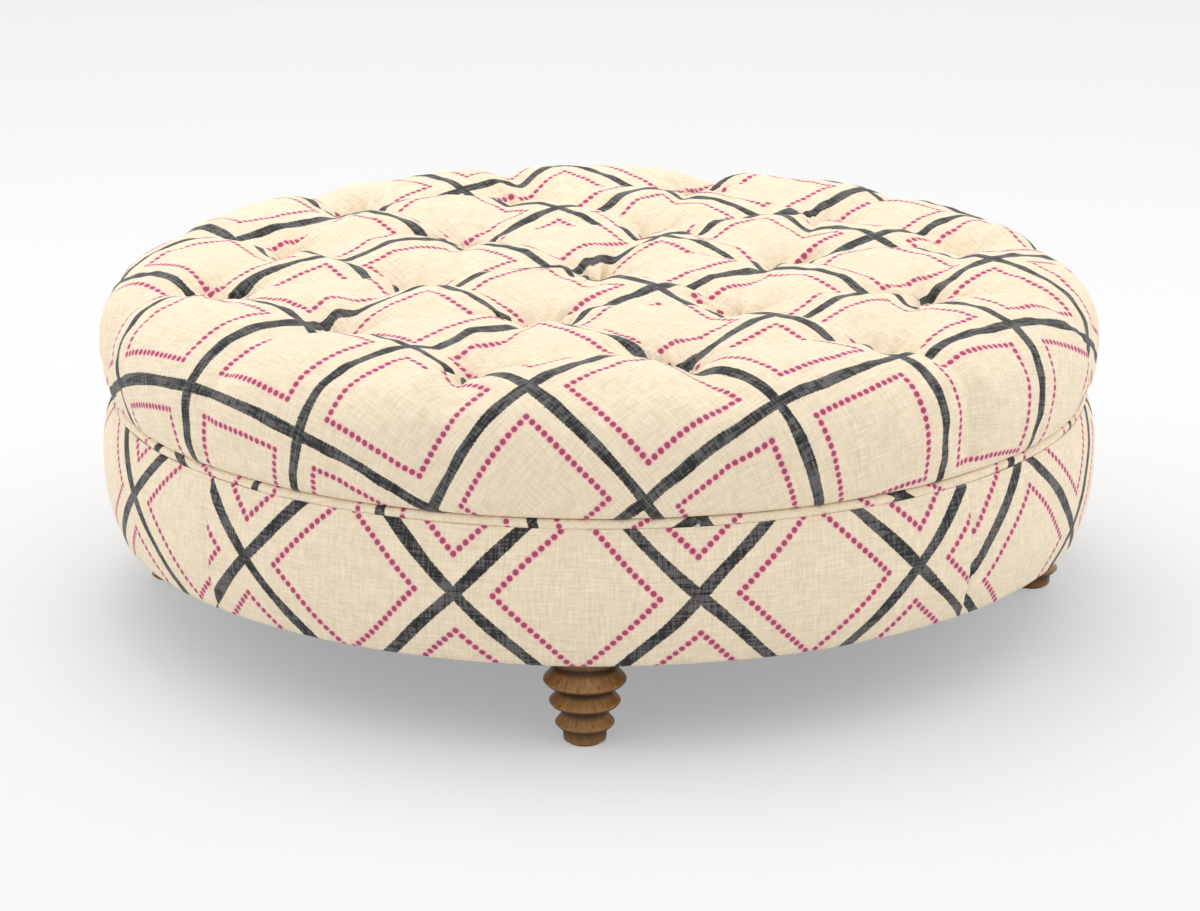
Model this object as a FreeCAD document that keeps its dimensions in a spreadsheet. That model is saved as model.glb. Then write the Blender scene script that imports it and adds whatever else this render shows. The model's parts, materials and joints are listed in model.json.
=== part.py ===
import FreeCAD, Part
import math
import os
import re
import Sketcher
from FreeCAD import Placement, Rotation, Vector

# Round upholstered tuffet on four turned legs. Millimetres and degrees.
# The origin is on the floor under the middle of the seat, +Z is up, and the legs stand on the axes.

doc = FreeCAD.newDocument("tuffet")

# Driving dimensions
sizes = {
    # turned legs
    "leg_count": 4,
    "leg_inset": 34.0,
    "leg_length": 101.0,
    "glide_thickness": 2.5,
    "glide_radius": 19.0,
    "toe_radius": 23.7,
    "toe_edge": 1.5,
    "foot_radius": 24.8,
    "foot_height": 10.4,
    "low_ring_radius": 32.9,
    "low_ring_height": 21.1,
    "ring_count": 3,
    "ring_belly": 0.8,
    "ring_step": 6.65,
    "ring_pitch": 25.3,
    "ring_rise": 10.4,
    "groove_depth": 7.6,
    "collar_radius": 38.0,
    "collar_height": 9.0,
    "neck_radius": 33.0,
    "neck_height": 12.0,
    # hanger bolts and tee nuts
    "bolt_radius": 4.0,
    "bolt_in_leg": 38.0,
    "bolt_above_nut": 2.0,
    "bolt_clearance": 0.1,
    "nut_wall": 1.4,
    "nut_length": 13.0,
    "nut_flange_radius": 11.0,
    "nut_flange_thickness": 1.5,
    "hole_clearance": 0.3,
    # plywood frame of the drum
    "frame_radius": 574.0,
    "ply": 18.0,
    "foot_ring_width": 132.0,
    "head_ring_width": 72.0,
    "pad_length": 110.0,
    "pad_width": 96.0,
    "pad_inset": 2.0,
    "post_count": 8,
    "post_width": 68.0,
    "post_depth": 42.0,
    "post_inset": 4.0,
    "wall_thickness": 4.0,
    # base upholstery
    "base_height": 169.5,
    "base_bulge": 18.0,
    "base_padding_at_foot": 18.0,
    "base_edge": 6.0,
    "panel_count": 4,
    "fabric": 1.5,
    "fabric_turn_in": 24.0,
    "dust_cover_thickness": 1.0,
    "soft_gap": 0.3,
    # corded welt between base and seat
    "welt_radius": 7.0,
    "welt_overhang": 14.3,
    "flange_thickness": 1.0,
    # seat: deck board, foam and tufted cover
    "deck_overhang": 6.0,
    "deck_thickness": 15.0,
    "seat_overhang": 11.0,
    "seat_bulge": 21.0,
    "seat_widest": 58.0,
    "seat_height": 145.0,
    "rim_width": 125.0,
    "rim_fullness": 2.3,
    "side_fullness": 1.8,
    "foam_thickness": 86.0,
    "foam_bevel": 34.0,
    # sewn tufts
    "tufts_from_edge": 136.0,
    "tuft_turn": 15.0,
    "tuft_depth": 35.0,
    "tuft_width": 44.0,
    "pleat_depth": 13.0,
    "pleat_width": 36.0,
    "tuft_skin": 3.0,
    "twine_radius": 1.5,
    "twine_hole_radius": 4.0,
    "foam_hole_radius": 10.0,
    "washer_radius": 12.5,
    "washer_thickness": 2.0,
    # wood screws and drilled holes
    "overshoot": 1.0,
    "screw_radius": 2.2,
    "screw_head_radius": 4.4,
    "screw_head_height": 2.6,
    "deck_screw_length": 34.0,
    "deck_screw_inset": 38.0,
    "frame_screw_length": 50.0,
    "screw_point": 3.0,
    "screw_tip_radius": 0.5,
}

# Heights above the floor, radii and lines shared by pieces that seat on each other
levels = {
    "underside": "glide_thickness + leg_length",
    "ring_foot": "underside + dust_cover_thickness + fabric",
    "ring_top": "ring_foot + ply",
    "pad_top": "ring_top + ply",
    "base_top": "underside + base_height",
    "head_top": "base_top - fabric",
    "head_foot": "head_top - ply",
    "seat_foot": "base_top + flange_thickness",
    "deck_foot": "seat_foot + fabric",
    "deck_top": "deck_foot + deck_thickness",
    "foam_top": "deck_top + foam_thickness",
    "seat_wide": "seat_foot + seat_widest",
    "crest": "seat_foot + seat_height",
    "tuft_pit": "crest - tuft_depth",
    "twine_top": "tuft_pit - tuft_skin",
    "washer_foot": "deck_foot - washer_thickness",
    "welt_level": "seat_foot - welt_radius",
    "fabric_foot": "underside + dust_cover_thickness",
    "nut_foot": "pad_top - nut_length",
    "bolt_top": "pad_top + nut_flange_thickness + bolt_above_nut",
    "nut_radius": "bolt_radius + nut_wall",
    "leg_circle": "frame_radius - leg_inset",
    "turn_in": "frame_radius - fabric_turn_in",
    "wall_face": "frame_radius + wall_thickness",
    "post_middle": "frame_radius - post_inset - post_depth / 2",
    "base_foot_radius": "frame_radius + base_padding_at_foot",
    "base_radius": "base_foot_radius + base_bulge",
    "welt_circle": "frame_radius + welt_overhang",
    "deck_radius": "frame_radius + deck_overhang",
    "deck_screw_circle": "frame_radius - deck_screw_inset",
    "seat_foot_radius": "frame_radius + seat_overhang",
    "seat_radius": "seat_foot_radius + seat_bulge",
    "crown_radius": "seat_radius - rim_width",
    "tuft_pitch": "(seat_radius - tufts_from_edge) / 2",
    "screw_bore": "screw_radius + bolt_clearance",
    "screw_hole": "screw_radius + hole_clearance",
    "post_bite": "frame_screw_length - ply",
    "deck_bite": "head_foot + deck_screw_length - deck_foot",
}


def bound(expression):
    """An expression in plain aliases, written as the document's objects need it."""
    return re.sub(r"[a-z]\w*", lambda word: homes.get(word[0], "") + word[0], expression)


def fill_sheet(name, cells, prefix):
    sheet = doc.addObject("Spreadsheet::Sheet", name)
    homes.update({alias: f"{name}." for alias in cells})
    for row, (alias, value) in enumerate(cells.items(), start=1):
        sheet.set(f"A{row}", alias)
        sheet.set(f"B{row}", prefix + bound(str(value)))
        sheet.setAlias(f"B{row}", alias)
    doc.recompute()
    return sheet


homes = {}
fill_sheet("sizes", sizes, "")
level_sheet = fill_sheet("levels", levels, "=")


def size(expression):
    """Value of an expression in the sheets' aliases."""
    return float(level_sheet.evalExpression(bound(expression)))


parts = []


def keep(label, thing):
    thing.Label = label
    parts.append(thing)
    return thing


def origin_feature(body, role):
    return next(feature for feature in body.Origin.OriginFeatures if feature.Role == role)


# How a sketch numbers the two ends of a line
line_start = 1
line_end = 2


def outline(body, path):
    """Closed upright sketch through points (radius, height)."""
    sketch = body.newObject("Sketcher::SketchObject", "outline")
    sketch.AttachmentSupport = [(origin_feature(body, "XZ_Plane"), "")]
    sketch.MapMode = "FlatFace"
    corners = [Vector(size(radius), size(height), 0) for radius, height in path]
    for start, end in zip(corners, corners[1:] + corners[:1]):
        sketch.addGeometry(Part.LineSegment(start, end), False)
    for index, corner in enumerate(path):
        before = (index - 1) % len(path)
        sketch.addConstraint(Sketcher.Constraint("Coincident", before, line_end, index, line_start))
        for kind, expression in zip(("DistanceX", "DistanceY"), corner):
            distance = Sketcher.Constraint(kind, -1, 1, index, line_start, size(expression))
            added = sketch.addConstraint(distance)
            sketch.setExpression(f"Constraints[{added}]", bound(expression))
    return sketch


def turned(label, path):
    """Solid of revolution about the vertical axis."""
    body = doc.addObject("PartDesign::Body", label)
    sketch = outline(body, path)
    turn = body.newObject("PartDesign::Revolution", "turn")
    turn.Profile = sketch
    turn.ReferenceAxis = (origin_feature(body, "Z_Axis"), [""])
    turn.Angle = 360.0
    doc.recompute()
    return body


def cylinder(radius, foot, height, x=0.0, y=0.0):
    rod = doc.addObject("Part::Cylinder", "rod")
    rod.setExpression("Radius", bound(radius))
    rod.setExpression("Height", bound(height))
    rod.Placement.Base = Vector(x, y, size(foot))
    return rod


# Small hidden rods and the holes for them are six-sided, and the rings' openings sixteen-sided
rod_sides = 6
opening_sides = 16


def faceted(path, sides=rod_sides):
    """Solid of upright polygons, one round each step (radius, height) of its path."""
    rims = []
    for radius, height in path:
        rim = doc.addObject("Part::RegularPolygon", "rim")
        rim.Polygon = sides
        rim.setExpression("Circumradius", bound(radius))
        rim.setExpression("Placement.Base.z", bound(height))
        rims.append(rim)
    loft = doc.addObject("Part::Loft", "faceted")
    loft.Sections = rims
    loft.Solid = True
    loft.Ruled = True
    doc.recompute()
    return loft


def rod(radius, foot, top):
    return faceted([(radius, foot), (radius, top)])


def drill(radius, foot, top):
    """Rod that runs past both faces of what it is cut from."""
    return rod(radius, f"{foot} - overshoot", f"{top} + overshoot")


def fused(things):
    whole = doc.addObject("Part::MultiFuse", "fused")
    whole.Shapes = things
    doc.recompute()
    return whole


def cut(base, tools):
    """Base less all its tools."""
    rest = doc.addObject("Part::Cut", "cut")
    rest.Base = base
    rest.Tool = fused(tools) if len(tools) > 1 else tools[0]
    doc.recompute()
    return rest


def group(label, things):
    """Identical pieces kept as one node of separate solids."""
    compound = doc.addObject("Part::Compound", label)
    compound.Links = things
    doc.recompute()
    return keep(label, compound)


def around(radius, count, first=0.0):
    """Places (x, y, turn) evenly spaced on a circle."""
    places = []
    for index in range(int(count)):
        turn = first + 360.0 * index / int(count)
        angle = math.radians(turn)
        places.append((radius * math.cos(angle), radius * math.sin(angle), turn))
    return places


def copies(master, places, level="0", tipped=0.0):
    """The master's solid set down at each place, tipped about X and turned to face outwards."""
    made = []
    for x, y, turn in places:
        thing = doc.addObject("Part::Feature", "copy")
        thing.Shape = master.Shape
        spin = Rotation(Vector(0, 0, 1), turn) * Rotation(Vector(1, 0, 0), tipped)
        thing.Placement = Placement(Vector(x, y, size(level)), spin)
        made.append(thing)
    return made


upside_down = 180.0
compass = ["right", "back", "left", "front"]
leg_places = around(size("leg_circle"), size("leg_count"))
post_places = around(size("post_middle"), size("post_count"), 180.0 / size("post_count"))
deck_screw_places = around(size("deck_screw_circle"), size("post_count"))
panel_places = around(0.0, size("panel_count"))


# Legs: turned from one blank, three rings over a plain foot and a collar at the top
def make_legs():
    foot = "glide_thickness"
    top = "underside"
    path = [
        ("0", foot),
        ("toe_radius - toe_edge", foot),
        ("toe_radius", f"{foot} + toe_edge"),
        ("foot_radius", f"{foot} + foot_height"),
    ]
    ring_count = int(size("ring_count"))
    for ring in range(ring_count):
        rim = f"low_ring_radius + ring_step * {ring}"
        level = f"{foot} + low_ring_height + ring_pitch * {ring}"
        # each ring is full below its rim and a plain cone above it
        under, start = path[-1]
        path.append((f"{under} + ({rim} - ({under})) * ring_belly", f"({start} + {level}) / 2"))
        path.append((rim, level))
        if ring < ring_count - 1:
            path.append((f"{rim} - groove_depth", f"{level} + ring_rise"))
    path += [
        ("neck_radius", f"{top} - neck_height"),
        ("collar_radius", f"{top} - collar_height"),
        ("collar_radius", top),
        ("0", top),
    ]
    hole = rod("bolt_radius + bolt_clearance", f"{top} - bolt_in_leg", f"{top} + overshoot")
    group("legs", copies(cut(turned("leg_blank", path), [hole]), leg_places))


# Nail-on glides under the feet
def make_glides():
    glide = cylinder("glide_radius", "0", "glide_thickness")
    doc.recompute()
    group("glides", copies(glide, leg_places))


# Hanger bolts run from the leg through the foot ring and its pad into a tee nut
def make_bolts():
    group("hanger_bolts", copies(rod("bolt_radius", "underside - bolt_in_leg", "bolt_top"), leg_places))
    nut = fused([
        rod("nut_radius", "nut_foot", "pad_top"),
        rod("nut_flange_radius", "pad_top", "pad_top + nut_flange_thickness"),
    ])
    thread = drill("bolt_radius + bolt_clearance", "nut_foot", "bolt_top")
    group("tee_nuts", copies(cut(nut, [thread]), leg_places))


# Plywood pads double the foot ring where a leg bolts on
def make_pads():
    hole = drill("nut_radius + hole_clearance", "ring_top", "pad_top")
    inner = size("frame_radius - pad_width - pad_inset")
    for name, place in zip(compass, leg_places):
        board = doc.addObject("Part::Box", "board")
        board.setExpression("Length", bound("pad_width"))
        board.setExpression("Width", bound("pad_length"))
        board.setExpression("Height", bound("ply"))
        spin = Rotation(Vector(0, 0, 1), place[2])
        corner = spin.multVec(Vector(inner, -size("pad_length") / 2, size("ring_top")))
        board.Placement = Placement(corner, spin)
        keep(f"leg_pad_{name}", cut(board, copies(hole, [place])))


def make_ring(label, foot, width, drills):
    board = cylinder("frame_radius", foot, "ply")
    corner = f"(frame_radius - {width}) / cos(180 / {opening_sides})"
    opening = faceted([
        (corner, f"{foot} - overshoot"),
        (corner, f"{foot} + ply + overshoot"),
    ], opening_sides)
    keep(label, cut(board, [opening] + drills))


# The drum's frame: two plywood rings, the studs between them and a bent sheet round them
def make_frame():
    bolt_hole = drill("bolt_radius + hole_clearance", "0", "ply")
    screw_hole = faceted([
        ("screw_head_radius + hole_clearance", "-overshoot"),
        ("screw_head_radius + hole_clearance", "0"),
        ("screw_hole", "screw_head_height"),
        ("screw_hole", "ply + overshoot"),
    ])
    foot_drills = copies(bolt_hole, leg_places, "ring_foot")
    foot_drills += copies(screw_hole, post_places, "ring_foot")
    head_drills = copies(screw_hole, post_places, "head_top", upside_down)
    head_drills += copies(screw_hole, deck_screw_places, "head_foot")
    make_ring("foot_ring", "ring_foot", "foot_ring_width", foot_drills)
    make_ring("head_ring", "head_foot", "head_ring_width", head_drills)
    bore = drill("screw_bore", "0", "post_bite")
    half = Vector(-size("post_depth") / 2, -size("post_width") / 2, 0)
    for index, place in enumerate(post_places, start=1):
        post = doc.addObject("Part::Box", "stud")
        post.setExpression("Length", bound("post_depth"))
        post.setExpression("Width", bound("post_width"))
        post.setExpression("Height", bound("head_foot - ring_top"))
        x, y, turn = place
        spin = Rotation(Vector(0, 0, 1), turn)
        post.Placement = Placement(Vector(x, y, size("ring_top")) + spin.multVec(half), spin)
        bores = copies(bore, [place], "ring_top") + copies(bore, [place], "head_foot", upside_down)
        keep(f"post_{index}", cut(post, bores))
    keep("wall_sheet", turned("wall", [
        ("frame_radius + bolt_clearance", "ring_foot"),
        ("wall_face", "ring_foot"),
        ("wall_face", "head_top"),
        ("frame_radius + bolt_clearance", "head_top"),
    ]))


# Countersunk screws: up through the foot ring, down through the head ring, up into the deck
def screw(length):
    return faceted([
        ("screw_head_radius", "0"),
        ("screw_radius", "screw_head_height"),
        ("screw_radius", f"{length} - screw_point"),
        ("screw_tip_radius", length),
    ])


def make_screws():
    frame_screw = screw("frame_screw_length")
    upward = copies(frame_screw, post_places, "ring_foot")
    downward = copies(frame_screw, post_places, "head_top", upside_down)
    group("frame_screws", upward + downward)
    group("deck_screws", copies(screw("deck_screw_length"), deck_screw_places, "head_foot"))


# Upholstered rings are ruled from spoke to spoke, and the seat's corners lie on the same spokes
spokes = 72


def upholstered(path):
    """One panel's stretch of a ring with this upright section (radius, height)."""
    corners = [Vector(size(radius), 0, size(height)) for radius, height in path]
    section = Part.makePolygon(corners + corners[:1])
    steps = round(spokes / size("panel_count"))
    sections = []
    for index in range(steps + 1):
        share = index / steps - 0.5
        sections.append(section.rotated(Vector(), Vector(0, 0, 1), 360 / size("panel_count") * share))
    stretch = doc.addObject("Part::Feature", "stretch")
    stretch.Shape = Part.makeLoft(sections, True, True)
    return stretch


# The welt is eight-sided, and its seat in the base is half an octagon round it, grown by what lies
# between them. The base's faces bulge on a parabola, in a few flat steps.
octagon = math.tan(math.pi / 8)
side_steps = 3


def welt_seat(grow):
    reach = f"(welt_radius + soft_gap + {grow})"
    near = f"{reach} * {octagon:.4f}"
    return [
        (f"welt_circle + {reach}", f"welt_level - {near}"),
        (f"welt_circle + {near}", f"welt_level - {reach}"),
        (f"welt_circle - {near}", f"welt_level - {reach}"),
        (f"welt_circle - {reach}", f"welt_level - {near}"),
    ]


def between(one, other, share):
    return tuple(f"({a}) + (({b}) - ({a})) * {share}" for a, b in zip(one, other))


def bulged(low, high, widest):
    """Points between two corners, standing out from their chord as far as the widest radius."""
    points = []
    for index in range(1, side_steps):
        share = index / side_steps
        radius, height = between(low, high, share)
        out = f"({widest} - ({low[0]} + {high[0]}) / 2)"
        points.append((f"{radius} + {out} * {4 * share * (1 - share)}", height))
    return points


# Base upholstery: padding round the wall, and four sewn panels over it with seams between the legs.
# The lips are where their bulging faces meet the welt's seat, as shares of its sloping side.
panel_lip = 0.55
padding_lip = 0.45


def make_base():
    outer = welt_seat("0")
    inner = welt_seat("fabric")
    stuffed = welt_seat("fabric + soft_gap")
    outer_foot = ("base_foot_radius", "fabric_foot + base_edge")
    inner_foot = ("base_foot_radius - fabric", "fabric_foot + base_edge")
    inner_lip = between(inner[1], inner[0], panel_lip)
    stuffed_foot = ("base_foot_radius - fabric - soft_gap", "ring_foot + base_edge")
    stuffed_lip = between(stuffed[1], stuffed[0], padding_lip)
    stuffed_bore = f"(wall_face + soft_gap) / cos(180 / {spokes})"
    panel = upholstered([
        ("turn_in", "fabric_foot"),
        ("base_foot_radius - base_edge", "fabric_foot"),
        outer_foot,
        *bulged(outer_foot, outer[0], "base_radius"),
        *outer,
        (outer[3][0], "base_top"),
        ("turn_in", "base_top"),
        ("turn_in", "head_top"),
        (inner[3][0], "head_top"),
        *inner[:0:-1],
        inner_lip,
        *reversed(bulged(inner_foot, inner_lip, "(base_radius - fabric)")),
        inner_foot,
        ("base_foot_radius - base_edge - fabric / 2", "fabric_foot + fabric"),
        ("turn_in", "fabric_foot + fabric"),
    ])
    for name, place in zip(compass, panel_places):
        keep(f"base_panel_{name}", copies(panel, [place])[0])
    padding = upholstered([
        (stuffed_bore, "ring_foot + soft_gap"),
        ("base_foot_radius - base_edge - fabric", "ring_foot + soft_gap"),
        stuffed_foot,
        *bulged(stuffed_foot, stuffed_lip, "(base_radius - fabric - soft_gap)"),
        stuffed_lip,
        stuffed[1],
        (stuffed_bore, stuffed[1][1]),
    ])
    keep("base_padding", fused(copies(padding, panel_places)))


def make_dust_cover():
    disc = cylinder("frame_radius", "underside", "dust_cover_thickness")
    hole = drill("bolt_radius + hole_clearance", "underside", "fabric_foot")
    keep("dust_cover", cut(disc, copies(hole, leg_places)))


# Fabric-covered cord whose flat flange is stapled between the base and the seat
def make_welt():
    near = f"welt_radius * {octagon:.4f}"
    welt = upholstered([
        ("turn_in", "base_top"),
        (f"welt_circle - {near} - flange_thickness", "base_top"),
        ("welt_circle - welt_radius", f"welt_level + {near}"),
        ("welt_circle - welt_radius", f"welt_level - {near}"),
        (f"welt_circle - {near}", "welt_level - welt_radius"),
        (f"welt_circle + {near}", "welt_level - welt_radius"),
        ("welt_circle + welt_radius", f"welt_level - {near}"),
        ("welt_circle + welt_radius", f"welt_level + {near}"),
        (f"welt_circle + {near}", "seat_foot"),
        ("turn_in", "seat_foot"),
    ])
    keep("edge_welt", fused(copies(welt, panel_places)))


# Tufts lie on a triangular grid: the middle one, six round it and twelve outside them
def tuft_ring(reach, turn):
    places = around(size("tuft_pitch") * reach, 6, size("tuft_turn") + turn)
    return [(x, y) for x, y, _ in places]


outer_tufts = tuft_ring(math.sqrt(3), 30) + tuft_ring(2, 0)
tufts = [(0.0, 0.0)] + tuft_ring(1, 0) + outer_tufts


def pleat_lines():
    """Pairs of neighbouring tufts, and a pleat from each outer tuft over the rim."""
    lines = []
    neighbour = size("tuft_pitch") + size("tuft_width") / 2
    for index, one in enumerate(tufts):
        for other in tufts[index + 1:]:
            if math.dist(one, other) < neighbour:
                lines.append((one, other))
    for x, y in outer_tufts:
        stretch = size("seat_radius") / math.hypot(x, y)
        lines.append(((x, y), (x * stretch, y * stretch)))
    return lines


tuft_places = [(x, y, 0.0) for x, y in tufts]
pleats = pleat_lines()


def distance_to_line(point, line):
    (start_x, start_y), (end_x, end_y) = line
    run_x = end_x - start_x
    run_y = end_y - start_y
    share = (point[0] - start_x) * run_x + (point[1] - start_y) * run_y
    share = max(0.0, min(1.0, share / (run_x ** 2 + run_y ** 2)))
    return math.dist(point, (start_x + share * run_x, start_y + share * run_y))


def sink(point):
    """How far tufts and pleats draw the cover in at a point of the plan."""
    pleat = min(distance_to_line(point, line) for line in pleats)
    tuft = min(math.dist(point, place) for place in tufts)
    fold = size("pleat_depth") * math.exp(-(pleat / size("pleat_width")) ** 2)
    pull = size("tuft_depth - pleat_depth") * math.exp(-(tuft / size("tuft_width")) ** 2)
    return fold + pull


def full_quarter(degrees, power):
    """Shares across and up of a quarter circle filled out by its power."""
    across = max(0.0, math.cos(math.radians(degrees)))
    up = max(0.0, math.sin(math.radians(degrees)))
    return across ** (2 / power), up ** (2 / power)


# Stations of the seat's form: degrees down its side and up its rim, then reach in tuft pitches
side_stations = [90, 60, 30]
rim_stations = [0, 20, 40, 60]
crown_stations = [2.0, 1.73, 1.45, 1.2, 1.0, 0.75, 0.45, 0.2, 0.06]


def seat_rings():
    """Rings up the side and over the top: radius, height, and the way the cover sinks."""
    rings = []
    for degrees in side_stations:
        across, up = full_quarter(degrees, size("side_fullness"))
        radius = size("seat_foot_radius") + size("seat_radius - seat_foot_radius") * across
        rings.append((radius, size("seat_wide") - size("seat_widest") * up, 0.0, 0.0))
    for degrees in rim_stations:
        across, up = full_quarter(degrees, size("rim_fullness"))
        radius = size("crown_radius") + size("seat_radius - crown_radius") * across
        height = size("seat_wide") + size("crest - seat_wide") * up
        rings.append((radius, height, math.cos(math.radians(degrees)), math.sin(math.radians(degrees))))
    for reach in crown_stations:
        rings.append((size("tuft_pitch") * reach, size("crest"), 0.0, 1.0))
    return rings


def ring_point(ring, degrees, level=None):
    radius, height, out, up = ring
    angle = math.radians(degrees)
    drop = up * sink((radius * math.cos(angle), radius * math.sin(angle)))
    radius -= drop * out
    height = height - drop if level is None else level
    return Vector(radius * math.cos(angle), radius * math.sin(angle), height)


def ring_corners(ring, level=None):
    """Corners of a ring, one on each spoke and so on each pleat; flat where a level is given."""
    turns = [size("tuft_turn") + 360 * index / spokes for index in range(spokes)]
    return [ring_point(ring, turn, level) for turn in turns]


def facet(*corners):
    return Part.Face(Part.makePolygon([*corners, corners[0]]))


def facets_between(low, high):
    """Flat three-sided facets from one ring of corners up to the next."""
    faces = []
    for index in range(spokes):
        faces.append(facet(low[index - 1], low[index], high[index]))
        faces.append(facet(low[index - 1], high[index], high[index - 1]))
    return faces


# Seat cover: faceted from ring to ring outside, hollow inside for the deck board and the foam
def make_seat_cover():
    rings = seat_rings()
    corners = [ring_corners(ring) for ring in rings[:-1]]
    corners.append(ring_corners(rings[-1], size("tuft_pit")))
    hollow = turned("seat_hollow", [
        ("0", "seat_foot"),
        ("turn_in", "seat_foot"),
        ("turn_in", "deck_foot"),
        ("deck_radius + soft_gap", "deck_foot"),
        ("deck_radius + soft_gap", "foam_top - foam_bevel + soft_gap"),
        ("deck_radius - foam_bevel + soft_gap", "foam_top + soft_gap"),
        ("0", "foam_top + soft_gap"),
    ])
    bore = rod("twine_radius + soft_gap", "foam_top", "twine_top")
    lining = fused([hollow] + copies(bore, tuft_places)).Shape
    mouth = min(lining.Faces, key=lambda face: face.CenterOfMass.z)
    walls = [face for face in lining.Faces if not face.isSame(mouth)]
    foot = Part.makePolygon(corners[0] + corners[0][:1])
    hem = Part.Face([foot, mouth.OuterWire])
    skin = [facet(*corners[-1])]
    for low, high in zip(corners, corners[1:]):
        skin += facets_between(low, high)
    shell = Part.makeShell(skin + [hem] + walls)
    shell.sewShape()
    solid = Part.makeSolid(shell)
    cover = doc.addObject("Part::Feature", "cover")
    cover.Shape = solid if solid.Volume > 0 else solid.reversed()
    keep("seat_cover", cover)


def make_deck_and_foam():
    twine_hole = drill("twine_hole_radius", "deck_foot", "deck_top")
    punch = drill("foam_hole_radius", "deck_top", "foam_top")
    bite = drill("screw_bore", "deck_foot", "deck_foot + deck_bite")
    board = cylinder("deck_radius", "deck_foot", "deck_thickness")
    keep("deck_board", cut(board, copies(twine_hole, tuft_places) + copies(bite, deck_screw_places)))
    foam = turned("foam_blank", [
        ("0", "deck_top"),
        ("deck_radius", "deck_top"),
        ("deck_radius", "foam_top - foam_bevel"),
        ("deck_radius - foam_bevel", "foam_top"),
        ("0", "foam_top"),
    ])
    keep("seat_foam", cut(foam, copies(punch, tuft_places)))


# Each tuft's twine runs from under the cover to a washer below the deck board
def make_tufting():
    group("tuft_twines", copies(rod("twine_radius", "washer_foot", "twine_top"), tuft_places))
    washer = rod("washer_radius", "washer_foot", "deck_foot")
    eye = drill("twine_radius + bolt_clearance", "washer_foot", "deck_foot")
    group("tuft_washers", copies(cut(washer, [eye]), tuft_places))


make_legs()
make_glides()
make_bolts()
make_pads()
make_frame()
make_screws()
make_base()
make_dust_cover()
make_welt()
make_seat_cover()
make_deck_and_foam()
make_tufting()

# Every object and every kept shape must be sound before anything is written
doc.recompute()
for thing in doc.Objects:
    if "Invalid" in thing.State or "Error" in thing.State:
        raise SystemExit(f"{thing.Label} did not recompute: {thing.State}")
os.makedirs("parts", exist_ok=True)
for thing in parts:
    shape = thing.Shape
    if shape.isNull() or not shape.isValid():
        raise SystemExit(f"{thing.Label} has no sound shape")
    shape.exportStep(f"parts/{thing.Label}.step")
    print(thing.Label, len(shape.Solids), "solids", round(shape.Volume / 1000, 1), "cm3")
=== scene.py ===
import bpy
import json
import math
import numpy as np
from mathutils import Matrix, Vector

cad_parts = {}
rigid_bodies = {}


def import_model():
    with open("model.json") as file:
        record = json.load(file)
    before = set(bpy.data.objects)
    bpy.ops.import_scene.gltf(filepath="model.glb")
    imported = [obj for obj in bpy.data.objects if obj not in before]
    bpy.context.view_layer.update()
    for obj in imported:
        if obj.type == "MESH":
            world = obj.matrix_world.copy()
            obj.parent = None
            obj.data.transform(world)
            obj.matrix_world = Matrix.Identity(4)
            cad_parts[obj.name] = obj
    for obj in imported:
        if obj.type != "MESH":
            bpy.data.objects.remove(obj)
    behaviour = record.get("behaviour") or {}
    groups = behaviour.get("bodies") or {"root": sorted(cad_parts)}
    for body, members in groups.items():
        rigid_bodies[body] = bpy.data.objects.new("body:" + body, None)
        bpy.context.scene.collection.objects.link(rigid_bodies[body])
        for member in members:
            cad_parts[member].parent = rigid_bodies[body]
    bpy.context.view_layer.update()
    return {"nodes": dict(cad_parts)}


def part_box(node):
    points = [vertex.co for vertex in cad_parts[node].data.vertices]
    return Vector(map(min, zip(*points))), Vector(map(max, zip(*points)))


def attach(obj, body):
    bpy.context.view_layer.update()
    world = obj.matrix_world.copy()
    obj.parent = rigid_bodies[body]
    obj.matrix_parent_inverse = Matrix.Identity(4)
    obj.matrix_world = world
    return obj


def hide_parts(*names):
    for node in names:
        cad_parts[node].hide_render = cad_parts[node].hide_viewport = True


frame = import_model()
bpy.ops.object.select_all(action="DESELECT")

# Lengths are metres. What seats on a CAD piece takes its radii and heights from that piece's box.
seatFoot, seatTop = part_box("seat_cover")[0].z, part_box("seat_cover")[1].z
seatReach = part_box("seat_cover")[1].x
baseFoot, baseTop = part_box("base_panel_front")[0].z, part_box("base_panel_front")[1].z
baseReach = -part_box("base_panel_front")[0].y
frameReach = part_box("foot_ring")[1].x
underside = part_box("dust_cover")[0].z
deckLow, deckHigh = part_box("deck_board")
foamLow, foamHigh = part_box("seat_foam")
paddingLow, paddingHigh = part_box("base_padding")
legTop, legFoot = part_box("legs")[1].z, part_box("legs")[0].z

legRing = frameReach - 0.034  # the circle that the legs stand on
turnIn = frameReach - 0.024  # where all outer cloth ends, turned in
foamBevel = 0.034
fullTurn = 6.283
compass = {"Right": 0, "Back": 90, "Left": 180, "Front": 270}
legCentres = {side: (legRing * math.cos(math.radians(turn)), legRing * math.sin(math.radians(turn)))
              for side, turn in compass.items()}
print("frame loaded,", len(frame["nodes"]), "nodes")


# Mesh tools

def selectOnly(piece):
    bpy.ops.object.select_all(action="DESELECT")
    piece.select_set(True)
    bpy.context.view_layer.objects.active = piece


def vectors(items, name):
    flat = np.empty(len(items) * 3)
    items.foreach_get(name, flat)
    return flat.reshape(-1, 3)


def points(piece):
    return vectors(piece.data.vertices, "co")


def movePoints(piece, places):
    piece.data.vertices.foreach_set("co", np.asarray(places, dtype=float).ravel())
    piece.data.update()


def edit(piece, *steps):
    selectOnly(piece)
    bpy.ops.object.mode_set(mode="EDIT")
    bpy.ops.mesh.select_all(action="SELECT")
    for step in steps:
        step()
    bpy.ops.object.mode_set(mode="OBJECT")


def mergeDoubles():
    bpy.ops.mesh.remove_doubles(threshold=0.00001)


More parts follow.
